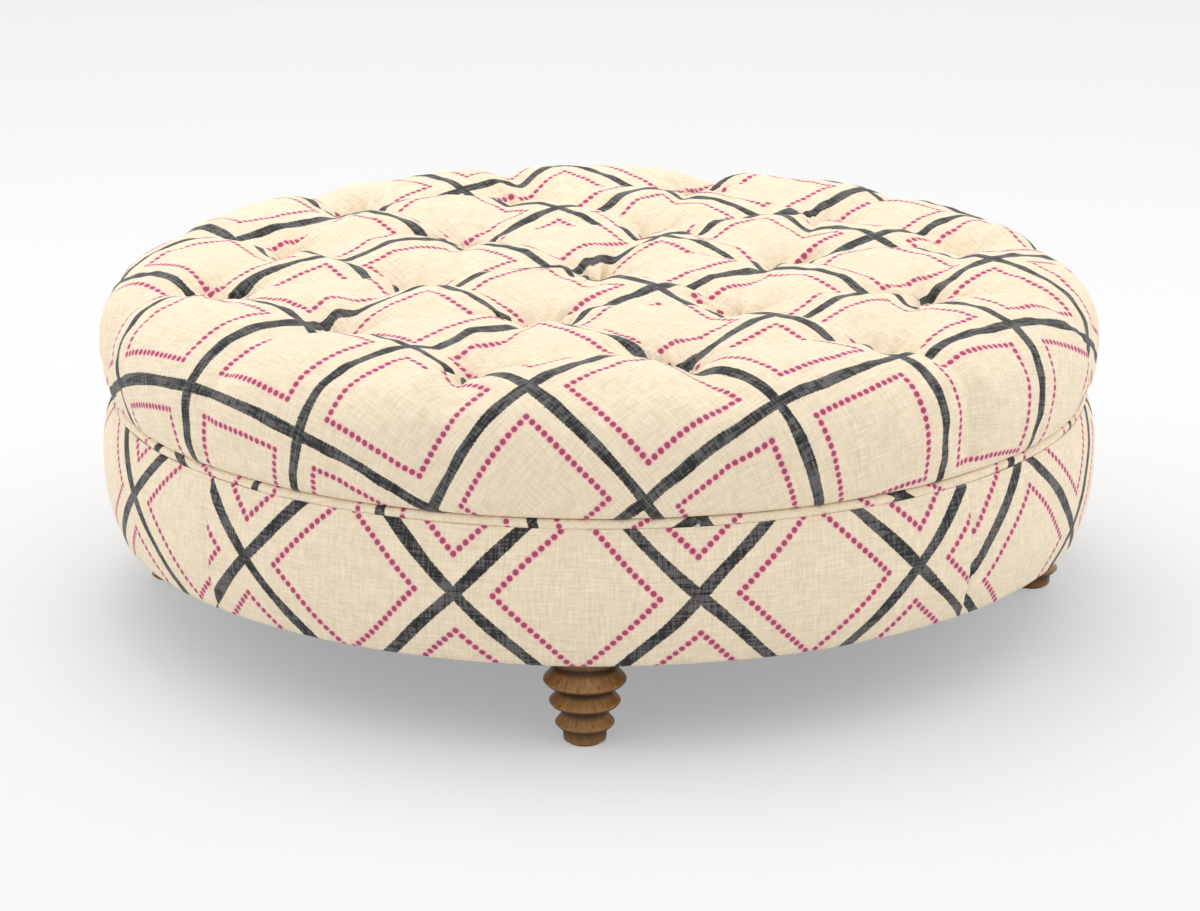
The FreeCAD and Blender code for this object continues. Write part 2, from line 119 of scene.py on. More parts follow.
def faceOutwards():
    bpy.ops.mesh.normals_make_consistent(inside=False)


def spinRound(steps, angle, **settings):
    bpy.ops.mesh.spin(steps=steps, angle=angle, center=(0, 0, 0), axis=(0, 0, 1), **settings)


def applied(piece, kind, **settings):
    selectOnly(piece)
    modifier = piece.modifiers.new(kind.title(), kind)
    for setting, value in settings.items():
        setattr(modifier, setting, value)
    bpy.ops.object.modifier_apply(modifier=modifier.name)


def smooth(piece, degrees=50):
    selectOnly(piece)
    bpy.ops.object.shade_smooth_by_angle(angle=math.radians(degrees))


# A line of points (radius, height) in the XZ plane: a circle whose points are moved to their places
def chain(path, closed):
    bpy.ops.mesh.primitive_circle_add(vertices=len(path), fill_type="NOTHING")
    piece = bpy.context.object
    movePoints(piece, [(radius, 0, height) for radius, height in path])
    if closed:
        return piece
    ends = {0, len(path) - 1}
    edit(piece,
         lambda: bpy.ops.mesh.select_mode(type="EDGE"),
         lambda: bpy.ops.mesh.select_all(action="DESELECT"))
    for edge in piece.data.edges:
        edge.select = set(edge.vertices) == ends
    bpy.ops.object.mode_set(mode="EDIT")
    bpy.ops.mesh.delete(type="EDGE")
    bpy.ops.mesh.select_mode(type="VERT")
    bpy.ops.object.mode_set(mode="OBJECT")
    return piece


# A chain spun about the upright axis, all the way or by a sweep in degrees, centred on a direction
def spun(path, steps, closed=False, sweep=360, middle=0):
    piece = chain(path, closed)
    edit(piece, lambda: spinRound(steps, math.radians(sweep)))
    edit(piece, mergeDoubles, faceOutwards)
    if sweep < 360:
        places = points(piece)
        found = math.atan2(places[:, 1].mean(), places[:, 0].mean())
        turn = math.radians(middle) - found
        x, y = places[:, 0].copy(), places[:, 1].copy()
        places[:, 0] = x * math.cos(turn) - y * math.sin(turn)
        places[:, 1] = x * math.sin(turn) + y * math.cos(turn)
        movePoints(piece, places)
        widest = max(piece.data.polygons, key=lambda face: Vector(face.center[:2]).length)
        if Vector(widest.normal[:2]).dot(Vector(widest.center[:2])) < 0:
            edit(piece, bpy.ops.mesh.flip_normals)
    return piece


def polar(piece):
    places = points(piece)
    return np.hypot(places[:, 0], places[:, 1]), np.arctan2(places[:, 1], places[:, 0]), places[:, 2]


# How far along a line each of its points lies
def reachAlong(line):
    steps = np.diff(np.array(line), axis=0)
    return np.concatenate([[0], np.cumsum(np.hypot(steps[:, 0], steps[:, 1]))])


# How far along a path each point of a spun piece lies, and which way is out of the path there
def alongPath(piece, path):
    batch = 4000
    line = np.array(path)
    slope = np.gradient(line, axis=0)
    slope /= np.maximum(np.hypot(slope[:, 0], slope[:, 1]), 1e-9)[:, None]
    radius, _, height = polar(piece)
    nearest = np.empty(len(radius), dtype=int)
    for start in range(0, len(radius), batch):
        part = slice(start, start + batch)
        gap = (radius[part, None] - line[:, 0]) ** 2 + (height[part, None] - line[:, 1]) ** 2
        nearest[part] = gap.argmin(axis=1)
    return reachAlong(path)[nearest], np.stack([-slope[nearest, 1], slope[nearest, 0]], axis=1)


# Where a point of the cloth lay in the flat cut, which its print and weave follow
def keepCut(piece, across, along):
    attribute = piece.data.attributes.new("cut", "FLOAT_VECTOR", "POINT")
    flat = np.stack([across, along, np.zeros(len(across))], axis=1)
    attribute.data.foreach_set("vector", flat.ravel())


def cutOf(piece):
    flat = vectors(piece.data.attributes["cut"].data, "vector")
    return flat[:, 0], flat[:, 1]


def keepMask(piece, name, values):
    attribute = piece.data.attributes.new(name, "FLOAT", "POINT")
    attribute.data.foreach_set("value", np.asarray(values, dtype=float))


# Soft lumps of about one size, the same on each run
def lumps(x, y, size, seed):
    waves = 7
    chance = np.random.default_rng(seed)
    total = np.zeros(len(x))
    for _ in range(waves):
        turn, shift = chance.uniform(0, fullTurn), chance.uniform(0, fullTurn)
        scale = chance.uniform(0.7, 1.4)
        total += np.sin((x * math.cos(turn) + y * math.sin(turn)) * fullTurn * scale / size + shift)
    return total / math.sqrt(waves)


# Points evenly spaced along a finely drawn line
def evenly(line, spacing):
    line = np.array(line)
    reach = reachAlong(line)
    count = max(2, round(reach[-1] / spacing) + 1)
    wanted = np.linspace(0, reach[-1], count)
    return list(zip(np.interp(wanted, reach, line[:, 0]), np.interp(wanted, reach, line[:, 1])))


# A quarter of a full oval from its side up to its crown; a power over 2 fills it out
def fullQuarter(middle, reach, rise, power, count=200):
    line = []
    for share in np.linspace(0, 1, count):
        angle = share * math.pi / 2
        across = max(0, math.cos(angle)) ** (2 / power)
        up = max(0, math.sin(angle)) ** (2 / power)
        line.append((middle[0] + reach * across, middle[1] + rise * up))
    return line


def finishPiece(piece, name, finish, slot, *replaced):
    piece.name = name
    piece.data.name = name
    piece.data.materials.clear()
    piece.data.materials.append(finish)
    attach(piece, "root")
    if replaced:
        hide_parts(*replaced)
    print("piece", name, len(piece.data.polygons), "faces")


# Shader tools: a node with its settings and inputs, and short forms of the ones used most

def put(tree, kind, inputs=None, **settings):
    made = tree.nodes.new(kind)
    for setting, value in settings.items():
        setattr(made, setting, value)
    for socket, value in (inputs or {}).items():
        if isinstance(value, bpy.types.NodeSocket):
            tree.links.new(value, made.inputs[socket])
        else:
            made.inputs[socket].default_value = value
    return made


def worked(tree, operation, *values):
    return put(tree, "ShaderNodeMath", dict(enumerate(values)), operation=operation).outputs[0]


def noise(tree, vector, scale, detail=3.0, stretch=(1, 1, 1)):
    laid = put(tree, "ShaderNodeMapping", {"Vector": vector, "Scale": stretch}).outputs[0]
    inputs = {"Vector": laid, "Scale": scale, "Detail": detail, "Roughness": 0.55}
    return put(tree, "ShaderNodeTexNoise", inputs).outputs["Fac"]


# 1 below the limit and 0 above it, with a soft step that reaches as far as the softness to each side
def below(tree, value, limit, softness):
    low = worked(tree, "SUBTRACT", limit, softness)
    high = worked(tree, "ADD", limit, softness)
    inputs = {"Value": value, "From Min": low, "From Max": high, "To Min": 1.0, "To Max": 0.0}
    return put(tree, "ShaderNodeMapRange", inputs, interpolation_type="SMOOTHSTEP").outputs[0]


# The mix node's sockets go by number: 0 is the share, 2 and 3 are plain numbers, 6 and 7 are colours
def blended(tree, share, one, other):
    return put(tree, "ShaderNodeMix", {0: share, 6: one, 7: other}, data_type="RGBA").outputs[2]


# Roughness that follows a value from 0 to 1 between two limits
def roughened(tree, shader, value, limits):
    made = put(tree, "ShaderNodeMapRange", {"Value": value, "To Min": limits[0], "To Max": limits[1]})
    tree.links.new(made.outputs[0], shader["Roughness"])


def bumped(tree, shader, height, strength, depth):
    made = put(tree, "ShaderNodeBump", {"Height": height, "Strength": strength, "Distance": depth})
    tree.links.new(made.outputs[0], shader["Normal"])


number = "NodeSocketFloat"
place = "NodeSocketVector"


def group(name, inputs, outputs):
    tree = bpy.data.node_groups.new(name, "ShaderNodeTree")
    for socket, kind, value in inputs:
        made = tree.interface.new_socket(socket, in_out="INPUT", socket_type=kind)
        if value is not None:
            made.default_value = value
    for socket in outputs:
        tree.interface.new_socket(socket, in_out="OUTPUT", socket_type=number)
    return tree, tree.nodes.new("NodeGroupInput").outputs, tree.nodes.new("NodeGroupOutput").inputs


def placed(tree, shared, **inputs):
    return put(tree, "ShaderNodeGroup", inputs, node_tree=shared).outputs


# Printed trellis: brushed bands round square cells on point, and a ring of dots inside each cell
trellisPrint = {
    "cell": 0.19, "band": 0.0135, "pitch": 0.0092, "dot": 0.0034, "ring": 7.0, "ringSlack": 0.4,
    "wander": 0.014, "wanderScale": 5.5, "wanderShifts": (3.1, 17.7), "ragged": 0.0034, "raggedScale": 380,
    "swell": 0.5, "swellScale": 9, "bandEdge": 0.0006, "halo": 1.5, "dotEdge": 0.0006, "haloEdge": 0.0014}


def makeTrellis():
    sizes = [(name, number, trellisPrint[name.lower()]) for name in ("Cell", "Band", "Pitch", "Dot", "Ring")]
    tree, given, out = group("trellisPrint", [("Cut", place, None), *sizes], ["Band", "Dot", "Halo"])
    split = put(tree, "ShaderNodeSeparateXYZ", {0: given["Cut"]}).outputs
    halfCell = worked(tree, "MULTIPLY", given["Cell"], 0.5)
    near, fromMiddle = [], []
    for axis, shift in enumerate(trellisPrint["wanderShifts"]):
        away = put(tree, "ShaderNodeVectorMath", {0: given["Cut"], 1: (shift, shift, shift)}).outputs[0]
        drift = worked(tree, "SUBTRACT", noise(tree, away, trellisPrint["wanderScale"], detail=1.0), 0.5)
        drawn = worked(tree, "MULTIPLY_ADD", drift, trellisPrint["wander"], split[axis])
        cells = worked(tree, "DIVIDE", drawn, given["Cell"])
        inCell = worked(tree, "SUBTRACT", worked(tree, "FRACT", cells), 0.5)
        middle = worked(tree, "MULTIPLY", inCell, given["Cell"])
        fromMiddle.append(middle)
        near.append(worked(tree, "SUBTRACT", halfCell, worked(tree, "ABSOLUTE", middle)))
    ragged = worked(tree, "SUBTRACT", noise(tree, given["Cut"], trellisPrint["raggedScale"]), 0.5)
    swell = worked(tree, "SUBTRACT", noise(tree, given["Cut"], trellisPrint["swellScale"], detail=1.0), 0.5)
    swollen = worked(tree, "MULTIPLY_ADD", swell, trellisPrint["swell"], 0.5)
    halfBand = worked(tree, "MULTIPLY", given["Band"], swollen)
    line = worked(tree, "MULTIPLY_ADD", ragged, trellisPrint["ragged"], worked(tree, "MINIMUM", *near))
    tree.links.new(below(tree, line, halfBand, trellisPrint["bandEdge"]), out["Band"])
    offsets, steps = [], []
    for middle in fromMiddle:
        step = worked(tree, "ROUND", worked(tree, "DIVIDE", middle, given["Pitch"]))
        steps.append(worked(tree, "ABSOLUTE", step))
        offsets.append(worked(tree, "SUBTRACT", middle, worked(tree, "MULTIPLY", step, given["Pitch"])))
    farthest = worked(tree, "MAXIMUM", *steps)
    onRing = worked(tree, "COMPARE", farthest, given["Ring"], trellisPrint["ringSlack"])
    squares = [worked(tree, "MULTIPLY", offset, offset) for offset in offsets]
    away = worked(tree, "SQRT", worked(tree, "ADD", *squares))
    away = worked(tree, "MULTIPLY_ADD", ragged, trellisPrint["ragged"] / 4, away)
    spots = (("Dot", 1.0, trellisPrint["dotEdge"]), ("Halo", trellisPrint["halo"], trellisPrint["haloEdge"]))
    for socket, size, softness in spots:
        spot = below(tree, away, worked(tree, "MULTIPLY", given["Dot"], size), softness)
        tree.links.new(worked(tree, "MULTIPLY", onRing, spot), out[socket])
    return tree


# Slub linen: streaks along both threads, the threads themselves, and worn flecks in the print
slub = {"fine": (700, 0.08), "coarse": (310, 0.10), "detail": 3.0, "threads": 160.0, "distortion": 1.5,
        "threadBump": 0.3, "streakBump": 1.6, "patchScale": 28, "patches": 0.22, "wornBelow": 0.49,
        "wornEdge": 0.05}


def makeLinen():
    inputs = [("Cut", place, None), ("Turn", number, 0.0)]
    tree, given, out = group("slubLinen", inputs, ["Streaks", "Threads", "Worn"])
    turned = put(tree, "ShaderNodeVectorRotate", {"Vector": given["Cut"], "Angle": given["Turn"]},
                 rotation_type="Z_AXIS").outputs[0]
    layers = []
    for scale, length in (slub["fine"], slub["coarse"]):
        warp = noise(tree, turned, scale, slub["detail"], (1, length, 1))
        weft = noise(tree, turned, scale, slub["detail"], (length, 1, 1))
        layers.append(worked(tree, "MULTIPLY", worked(tree, "ADD", warp, weft), 0.5))
    streaks = worked(tree, "MULTIPLY", worked(tree, "ADD", *layers), 0.5)
    tree.links.new(streaks, out["Streaks"])
    waves = []
    for direction in ("X", "Y"):
        settings = {"Vector": turned, "Scale": slub["threads"], "Distortion": slub["distortion"],
                    "Detail": 1.0}
        waves.append(put(tree, "ShaderNodeTexWave", settings, bands_direction=direction).outputs["Fac"])
    crossed = worked(tree, "MULTIPLY", worked(tree, "MAXIMUM", *waves), slub["threadBump"])
    tree.links.new(worked(tree, "MULTIPLY_ADD", streaks, slub["streakBump"], crossed), out["Threads"])
    patches = worked(tree, "SUBTRACT", noise(tree, turned, slub["patchScale"], detail=2.0), 0.5)
    flecks = worked(tree, "SUBTRACT", 1.0, worked(tree, "MULTIPLY_ADD", patches, slub["patches"], streaks))
    tree.links.new(below(tree, flecks, slub["wornBelow"], slub["wornEdge"]), out["Worn"])
    return tree


trellis, linen = makeTrellis(), makeLinen()


def material(name):
    made = bpy.data.materials.new(name)
    made.use_nodes = True
    return made, made.node_tree, made.node_tree.nodes["Principled BSDF"].inputs


clothColours = {
    "ground": (0.921, 0.803, 0.615, 1), "shade": (0.681, 0.554, 0.381, 1),
    "charcoal": (0.018, 0.018, 0.019, 1), "worn": (0.17, 0.165, 0.16, 1),
    "berry": (0.36, 0.026, 0.105, 1), "halo": (0.84, 0.40, 0.47, 1)}
clothShares = {"streaks": 0.8, "worn": 0.75, "halo": 0.7, "berry": 0.92}
clothFinish = {"streaksFrom": 0.41, "streaksTo": 0.60, "rough": (0.95, 0.78), "bump": 0.5, "depth": 0.0007,
               "sheen": 0.12, "sheenRough": 0.5, "specular": 0.25}


# The cloth's print is turned by the lay and starts off-centre by the shift; its threads have their own turn
def makeCloth(name, lay, shift, threads):
    made, tree, shader = material(name)
    cut = put(tree, "ShaderNodeAttribute", attribute_name="cut").outputs["Vector"]
    laid = put(tree, "ShaderNodeMapping", {
        "Vector": cut, "Rotation": (0, 0, math.radians(lay)), "Location": (*shift, 0)}).outputs[0]
    shapes = placed(tree, trellis, Cut=laid)
    weave = placed(tree, linen, Cut=cut, Turn=math.radians(threads))
    streaks = put(tree, "ShaderNodeMapRange", {
        "Value": weave["Streaks"], "From Min": clothFinish["streaksFrom"],
        "From Max": clothFinish["streaksTo"], "To Min": clothShares["streaks"], "To Max": 0.0}).outputs[0]
    ground = blended(tree, streaks, clothColours["ground"], clothColours["shade"])
    worn = worked(tree, "MULTIPLY", weave["Worn"], clothShares["worn"])
    charcoal = blended(tree, worn, clothColours["charcoal"], clothColours["worn"])
    halo = worked(tree, "MULTIPLY", shapes["Halo"], clothShares["halo"])
    colour = blended(tree, halo, ground, clothColours["halo"])
    berry = worked(tree, "MULTIPLY", shapes["Dot"], clothShares["berry"])
    colour = blended(tree, berry, colour, clothColours["berry"])
    colour = blended(tree, shapes["Band"], colour, charcoal)
    tree.links.new(colour, shader["Base Color"])
    roughened(tree, shader, weave["Threads"], clothFinish["rough"])
    bumped(tree, shader, weave["Threads"], clothFinish["bump"], clothFinish["depth"])
    shader["Sheen Weight"].default_value = clothFinish["sheen"]
    shader["Sheen Roughness"].default_value = clothFinish["sheenRough"]
    shader["Specular IOR Level"].default_value = clothFinish["specular"]
    return made


# A plain material: two colours mixed by stretched noise, which also gives the bump and the roughness
def makePlain(name, one, other, scale, stretch=(1, 1, 1), rough=(0.6, 0.8), bump=0.3, depth=0.0004,
              metal=0.0):
    made, tree, shader = material(name)
    where = put(tree, "ShaderNodeTexCoord").outputs["Object"]
    grain = noise(tree, where, scale, 4.0, stretch)
    tree.links.new(blended(tree, grain, (*one, 1), (*other, 1)), shader["Base Color"])
    roughened(tree, shader, grain, rough)
    bumped(tree, shader, grain, bump, depth)
    shader["Metallic"].default_value = metal
    return made


# Turned hardwood: grain that runs up the leg under a satin coat, darkened in the grooves partly by dark
# stain and partly by painted shade
wood = {
    "run": (0.05, 0.05, 0.06), "figure": 300, "figureStops": (0.34, 0.68), "pores": 1500, "poreBelow": 0.42,
    "poreEdge": 0.07, "speckle": 1100, "stainAndShadeLeast": 0.4, "dark": (0.27, 0.125, 0.035, 1),
    "light": (0.385, 0.192, 0.058, 1), "pore": (0.15, 0.062, 0.018, 1), "groove": (0.03, 0.012, 0.005, 1),
    "rough": (0.34, 0.5), "bump": 0.15, "depth": 0.0003, "coat": 0.1, "coatRough": 0.3, "specular": 0.3}


def makeWood():
    made, tree, shader = material("turnedHardwood")
    where = put(tree, "ShaderNodeTexCoord").outputs["Object"]
    turned = put(tree, "ShaderNodeAttribute", attribute_name="cut").outputs["Vector"]
    upright = put(tree, "ShaderNodeVectorMath", {0: where, 1: wood["run"], 2: turned},
                  operation="MULTIPLY_ADD").outputs[0]
    figure = noise(tree, upright, wood["figure"])
    pores = noise(tree, upright, wood["pores"], detail=2.0)
    ramp = put(tree, "ShaderNodeValToRGB", {0: figure})
    stops = zip(ramp.color_ramp.elements, wood["figureStops"], (wood["dark"], wood["light"]))
    for element, position, colour in stops:
        element.position, element.color = position, colour
    inPore = below(tree, pores, wood["poreBelow"], wood["poreEdge"])
    pored = blended(tree, inPore, ramp.outputs[0], wood["pore"])
    # The groove mask mixes in the speckled groove colour: painted shade in the recesses by each rim, partly
    # dark stain
    groove = put(tree, "ShaderNodeAttribute", attribute_name="groove").outputs["Fac"]
    speckle = worked(tree, "ADD", noise(tree, where, wood["speckle"], detail=2.0), wood["stainAndShadeLeast"])
    colour = blended(tree, worked(tree, "MULTIPLY", groove, speckle), pored, wood["groove"])
    tree.links.new(colour, shader["Base Color"])
    roughened(tree, shader, pores, wood["rough"])
    bumped(tree, shader, pores, wood["bump"], wood["depth"])
    shader["Coat Weight"].default_value = wood["coat"]
    shader["Coat Roughness"].default_value = wood["coatRough"]
    shader["Specular IOR Level"].default_value = wood["specular"]
    return made


# Plywood: grain along the boards, darker in every other ply where an edge shows
birch = {"grain": 60, "stretch": (0.12, 1, 1), "ply": 0.0015, "plyBelow": 0.5, "plyEdge": 0.1,
         "dark": (0.50, 0.33, 0.17, 1), "light": (0.66, 0.48, 0.28, 1), "darkPly": (0.40, 0.25, 0.12, 1),
         "rough": (0.6, 0.8), "bump": 0.2, "depth": 0.0004}


def makePlywood():
    made, tree, shader = material("birchPlywood")
    where = put(tree, "ShaderNodeTexCoord").outputs["Object"]
    grain = noise(tree, where, birch["grain"], 4.0, birch["stretch"])
    height = put(tree, "ShaderNodeSeparateXYZ", {0: where}).outputs[2]
    ply = worked(tree, "PINGPONG", worked(tree, "DIVIDE", height, birch["ply"]), 1.0)
    face = blended(tree, grain, birch["dark"], birch["light"])
    inPly = below(tree, ply, birch["plyBelow"], birch["plyEdge"])
    tree.links.new(blended(tree, inPly, face, birch["darkPly"]), shader["Base Color"])
    roughened(tree, shader, grain, birch["rough"])
    bumped(tree, shader, grain, birch["bump"], birch["depth"])
    return made


# The panels' print is shifted against each other, so that it breaks at the seams
panelShifts = {"Right": (0.03, 0.10), "Back": (0.12, 0.02), "Left": (0.07, 0.06), "Front": (0.0, 0.01)}
cushionCloth = makeCloth("cushionLinen", 45, (0.035, 0.05), 45)
weltCloth = makeCloth("weltLinen", 20, (0.02, 0.0), 45)
panelCloths = {side: makeCloth("baseLinen" + side, 45, shift, 0) for side, shift in panelShifts.items()}
hardwood, plywood = makeWood(), makePlywood()
softwood = makePlain("planedPine", (0.55, 0.37, 0.19), (0.76, 0.58, 0.36), 40, (1, 1, 0.08))
hardboard = makePlain("bentHardboard", (0.22, 0.13, 0.065), (0.33, 0.21, 0.11), 500, bump=0.15)
wadding = makePlain("polyesterWadding", (0.80, 0.80, 0.77), (0.93, 0.93, 0.91), 160,
                    rough=(0.9, 1.0), depth=0.002)
foam = makePlain("openCellFoam", (0.78, 0.70, 0.45), (0.90, 0.83, 0.58), 600,
                 rough=(0.85, 0.95), depth=0.001)
dustCloth = makePlain("blackDustCloth", (0.012, 0.012, 0.014), (0.05, 0.05, 0.055), 900, (1, 0.35, 1),
                      rough=(0.8, 0.95))
twine = makePlain("waxedTwine", (0.55, 0.48, 0.36), (0.78, 0.72, 0.60), 900, (1, 1, 0.4), bump=0.5)
zinc = makePlain("zincSteel", (0.50, 0.50, 0.52), (0.68, 0.68, 0.70), 220,
                 rough=(0.25, 0.45), bump=0.1, metal=1.0)
nylon = makePlain("mouldedNylon", (0.030, 0.026, 0.022), (0.055, 0.048, 0.04), 300,
                  rough=(0.45, 0.6), bump=0.1)
print("materials ready")


# Seat cover: a round cut drawn in by tufts, with pleats between them and over the rim.
# The line runs from the middle over the rim, down the side, in under the hem and back up the inside.
cover = {
    "crownRadius": seatReach - 0.125, "widest": seatFoot + 0.058, "rimPower": 2.29, "sidePower": 1.81,
    "footRadius": seatReach - 0.0145, "hemCorner": 0.004, "hemRise": 0.0004, "spacing": 0.0088,
    "spokes": 288, "liningGap": 0.0015, "liningDrop": 0.0003, "liningSpacing": 0.06,
    "pitch": (seatReach - 0.136) / 2, "turn": 15, "pitDepth": 0.024, "pitWidth": 0.040, "pitPower": 1.5,
    "wander": 0.007, "wanderSize": 0.16, "pleatDepth": 0.013, "pleatWidth": 0.031, "pleatFade": 0.30,
    "rimPleatEnd": 0.70, "rimPleatDepth": 1.1, "rimPleatFade": 0.75,
    "creaseDepth": 0.006, "creaseWidth": 0.0065, "creaseFade": 0.6, "puff": 0.0015, "puffWidth": 0.055,
    "lump": 0.0025, "lumpSize": 0.17, "rise": 0.003, "liftPower": 0.8, "fine": 0.0007, "fineSize": 0.045,
    "star": 0.0034, "starCounts": (3, 5, 7, 8, 11), "starStart": 0.012, "starReach": 0.055,
    "starUneven": 0.02, "starPower": 1.6, "gather": 0.0011, "gathers": 46, "gatherHeight": 0.06,
    "gatherDrift": 2.5, "gatherSize": 0.2}


def coverLine():
    rim = fullQuarter((cover["crownRadius"], cover["widest"]), seatReach - cover["crownRadius"],
                      seatTop - cover["widest"], cover["rimPower"])
    side = fullQuarter((cover["footRadius"], cover["widest"]), seatReach - cover["footRadius"],
                       seatFoot - cover["widest"], cover["sidePower"])
    hem = seatFoot + cover["hemRise"]
    outside = [(0, seatTop)] + rim[::-1] + side[1:]
    outside += [(cover["footRadius"] - cover["hemCorner"], hem), (turnIn, hem)]
    gap = cover["liningGap"]
    low = deckLow.z - cover["liningDrop"]
    inside = [(turnIn, low), (deckHigh.x + gap, low), (deckHigh.x + gap, foamHigh.z - foamBevel + gap)]
    roof = [(deckHigh.x - foamBevel + gap, foamHigh.z + gap), (0, foamHigh.z + gap)]
    return evenly(outside, cover["spacing"]) + inside + evenly(roof, cover["liningSpacing"])


# How far along its line the cover's hem ends under the cushion
def hemLength(line):
    near, past = 0.001, 0.0001
    hem = [length for length, (x, z) in zip(reachAlong(line), line)
           if z < seatFoot + near and x < turnIn + near]
    return min(hem) + past


# Six tufts in a ring, its reach counted in pitches
def tuftRing(reach, turn):
    angles = np.radians(cover["turn"] + turn + 60 * np.arange(6))
    away = reach * cover["pitch"]
    return [(away * math.cos(angle), away * math.sin(angle)) for angle in angles]


outerTufts = tuftRing(math.sqrt(3), 30) + tuftRing(2, 0)
tufts = [(0, 0)] + tuftRing(1, 0) + outerTufts


# Distance to the nearest tuft, and which one it is
def nearestTuft(across, along):
    reach = np.full(len(across), np.inf)
    which = np.zeros(len(across), dtype=int)
    for index, (x, y) in enumerate(tufts):
        away = np.hypot(across - x, along - y)
        closer = away < reach
        reach[closer], which[closer] = away[closer], index
    return reach, which


# Distance to the nearest pleat, the nearest point's share of its length, and whether it runs over the rim
def nearestPleat(across, along):
    neighbours = cover["pitch"] * 1.1
    lines = []
    for index, one in enumerate(tufts):
        for other in tufts[index + 1:]:
            if math.dist(one, other) < neighbours:
                lines.append((one, other, False))
    for x, y in outerTufts:
        stretch = cover["rimPleatEnd"] / math.hypot(x, y)
        lines.append(((x, y), (x * stretch, y * stretch), True))
    reach = np.full(len(across), np.inf)
    nearShare = np.zeros(len(across))
    rim = np.zeros(len(across), dtype=bool)
    for (startX, startY), (endX, endY), overRim in lines:
        runX, runY = endX - startX, endY - startY
        share = ((across - startX) * runX + (along - startY) * runY) / (runX ** 2 + runY ** 2)
        share = np.clip(share, 0, 1)
        away = np.hypot(across - startX - share * runX, along - startY - share * runY)
        closer = away < reach
        reach[closer], nearShare[closer], rim[closer] = away[closer], share[closer], overRim
    return reach, nearShare, rim


# How far the cover is drawn in at a point of the cut
def drawnIn(across, along):
    aside = cover["wander"] * lumps(across, along, cover["wanderSize"], seed=5)
    onward = cover["wander"] * lumps(across, along, cover["wanderSize"], seed=6)
    pleat, share, overRim = nearestPleat(across + aside, along + onward)
    tuft, _ = nearestTuft(across, along)
    middle = 1 - (2 * share - 1) ** 2
    rimDepth = cover["rimPleatDepth"] - cover["rimPleatFade"] * share
    depth = np.where(overRim, rimDepth, 1.0 - cover["pleatFade"] * middle)
    fold = cover["pleatDepth"] * depth * np.exp(-(pleat / cover["pleatWidth"]) ** 2)
    creased = cover["creaseDepth"] * (1 - cover["creaseFade"] * middle)
    crease = creased * np.exp(-pleat / cover["creaseWidth"])
    pit = cover["pitDepth"] * np.exp(-(tuft / cover["pitWidth"]) ** cover["pitPower"])
    puff = cover["puff"] * (1 - np.exp(-(pleat / cover["puffWidth"]) ** 2))
    return fold + crease + pit - puff


# Fine folds that run out from each tuft, uneven in number and length
def starFolds(across, along):
    reach, which = nearestTuft(across, along)
    folds = np.zeros(len(across))
    chance = np.random.default_rng(31)
    for index, (x, y) in enumerate(tufts):
        here = which == index
        angle = np.arctan2(along[here] - y, across[here] - x)
        ripple = np.zeros(here.sum())
        for count in cover["starCounts"]:
            ripple += chance.uniform(0.4, 1.0) * np.cos(count * angle + chance.uniform(0, fullTurn))
        uneven = cover["starUneven"] * np.cos(2 * angle + chance.uniform(0, fullTurn))
        spread = reach[here] / (cover["starReach"] + uneven)
        started = 1 - np.exp(-(reach[here] / cover["starStart"]) ** 2)
        folds[here] = ripple * started * np.exp(-spread ** cover["starPower"])
    return cover["star"] * folds


def makeSeatCover():
    line = coverLine()
    piece = spun(line, cover["spokes"])
    reach, out = alongPath(piece, line)
    _, turn, height = polar(piece)
    across, along = reach * np.cos(turn), reach * np.sin(turn)
    keepCut(piece, across, along)
    outside = reach < hemLength(line)
    lift = np.clip((height - seatFoot) / (cover["widest"] - seatFoot), 0, 1) ** cover["liftPower"]
    sunk = drawnIn(across, along) + cover["lump"] * lumps(across, along, cover["lumpSize"], seed=8)
    sunk = np.where(sunk < 0, cover["rise"] * np.tanh(sunk / cover["rise"]), sunk) * lift * outside
    places = points(piece)
    places[:, 0] -= sunk * out[:, 0] * np.cos(turn)
    places[:, 1] -= sunk * out[:, 0] * np.sin(turn)
    places[:, 2] -= sunk * out[:, 1]
    movePoints(piece, places)
    keepMask(piece, "skin", outside * lift)
    edit(piece, lambda: bpy.ops.mesh.subdivide(number_cuts=1, smoothness=1.0))
    skin = np.empty(len(piece.data.vertices))
    piece.data.attributes["skin"].data.foreach_get("value", skin)
    across, along = cutOf(piece)
    fine = starFolds(across, along) + cover["fine"] * lumps(across, along, cover["fineSize"], seed=12)
    low = np.clip(1 - (points(piece)[:, 2] - seatFoot) / cover["gatherHeight"], 0, 1)
    drift = cover["gatherDrift"] * lumps(across, along, cover["gatherSize"], seed=15)
    gathers = cover["gather"] * low * np.sin(np.arctan2(along, across) * cover["gathers"] + drift)
    raised = (fine + gathers) * np.minimum(1, skin * 2)
    movePoints(piece, points(piece) + vectors(piece.data.vertices, "normal") * raised[:, None])
    smooth(piece, 75)
    finishPiece(piece, "seatCover", cushionCloth, "printed_linen", "seat_cover")


# Base panels: four sewn widths of cloth, stretched over the padding and folded in at head and foot
panels = {
    "steps": 132, "spacing": 0.0062, "thick": 0.0011, "cutWidth": 0.988, "footIn": 0.015, "corner": 0.006,
    "cornerStart": 0.007, "fullness": 2.3, "besideCord": 0.0073, "belowCord": 0.004, "roundCord": 0.0075,
    "behindCord": 0.0085, "headRise": 0.0012, "seamDip": 0.0022, "seamWidth": 0.0035, "pucker": 0.0006,
    "puckers": 340, "puckerReach": 0.016, "puckerSize": 0.05, "ripple": 0.0009, "calmBySeam": 0.02,
    "broad": 0.6, "broadSize": 0.14, "broadRise": 1.6, "short": 0.5, "shortSize": 0.06, "shortRun": 2.2,
    "shortRise": 0.4, "cordDrop": 0.012, "calmAtFoot": 0.03, "calmAtHead": 0.02, "headZone": 0.035,
    "clearance": 0.00015}
